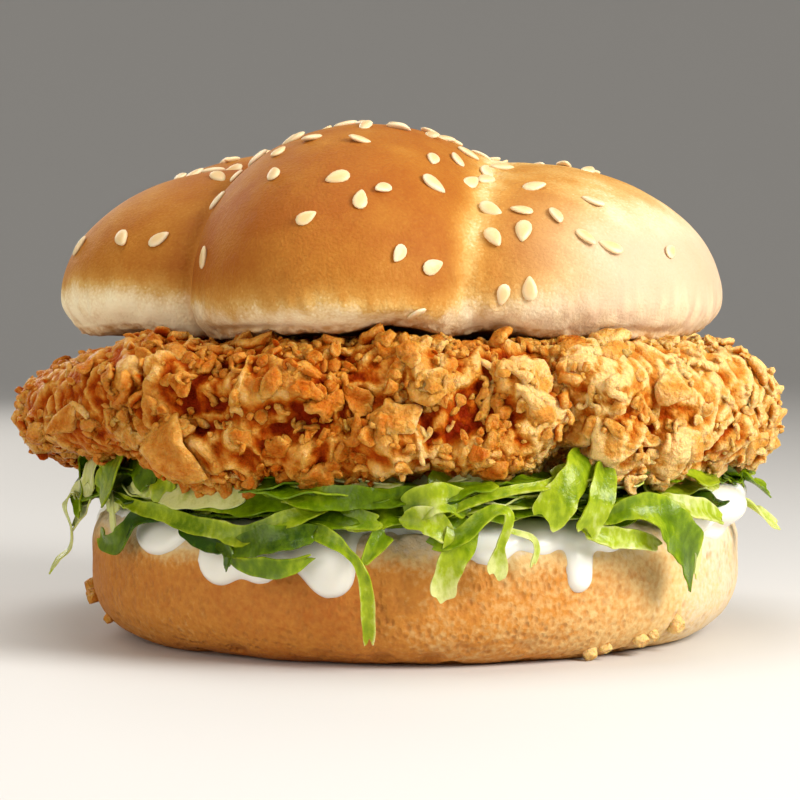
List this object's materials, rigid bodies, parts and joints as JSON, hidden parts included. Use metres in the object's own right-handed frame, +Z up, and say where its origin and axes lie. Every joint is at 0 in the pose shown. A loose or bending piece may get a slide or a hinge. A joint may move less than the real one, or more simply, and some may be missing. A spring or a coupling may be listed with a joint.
{
  "type": "chicken burger",
  "caption": "Fried chicken burger: a lobed sesame bun with a craggy crusted fillet that reaches past it, over shredded lettuce and white mayonnaise that runs over the rim.",
  "frame": {"origin": "middle of the burger's outline seen from above, on the surface that it stands on", "axes": "+X along the fillet's length towards its blunt end, +Z up, and the front towards -Y"},
  "size_m": [0.126, 0.111, 0.081],
  "materials": {
    "heel_bread": "baked bread with a finely pitted golden side and a pale cut face",
    "mayonnaise": "thick white sauce, smooth and wet",
    "lettuce": "shredded leaf, thin, slightly shiny, from pale rib to mid green",
    "fried_crust": "craggy golden fried crust with a little oil sheen",
    "crown_bread": "smooth baked crust, golden brown above and pale towards the cut",
    "sesame": "hulled seed, satin"
  },
  "bodies": {
    "root": {"bottom_bun": "heel_bread", "mayonnaise": "mayonnaise", "lettuce": "lettuce", "chicken_fillet": "fried_crust", "top_bun": "crown_bread"}
  },
  "joints": []
}
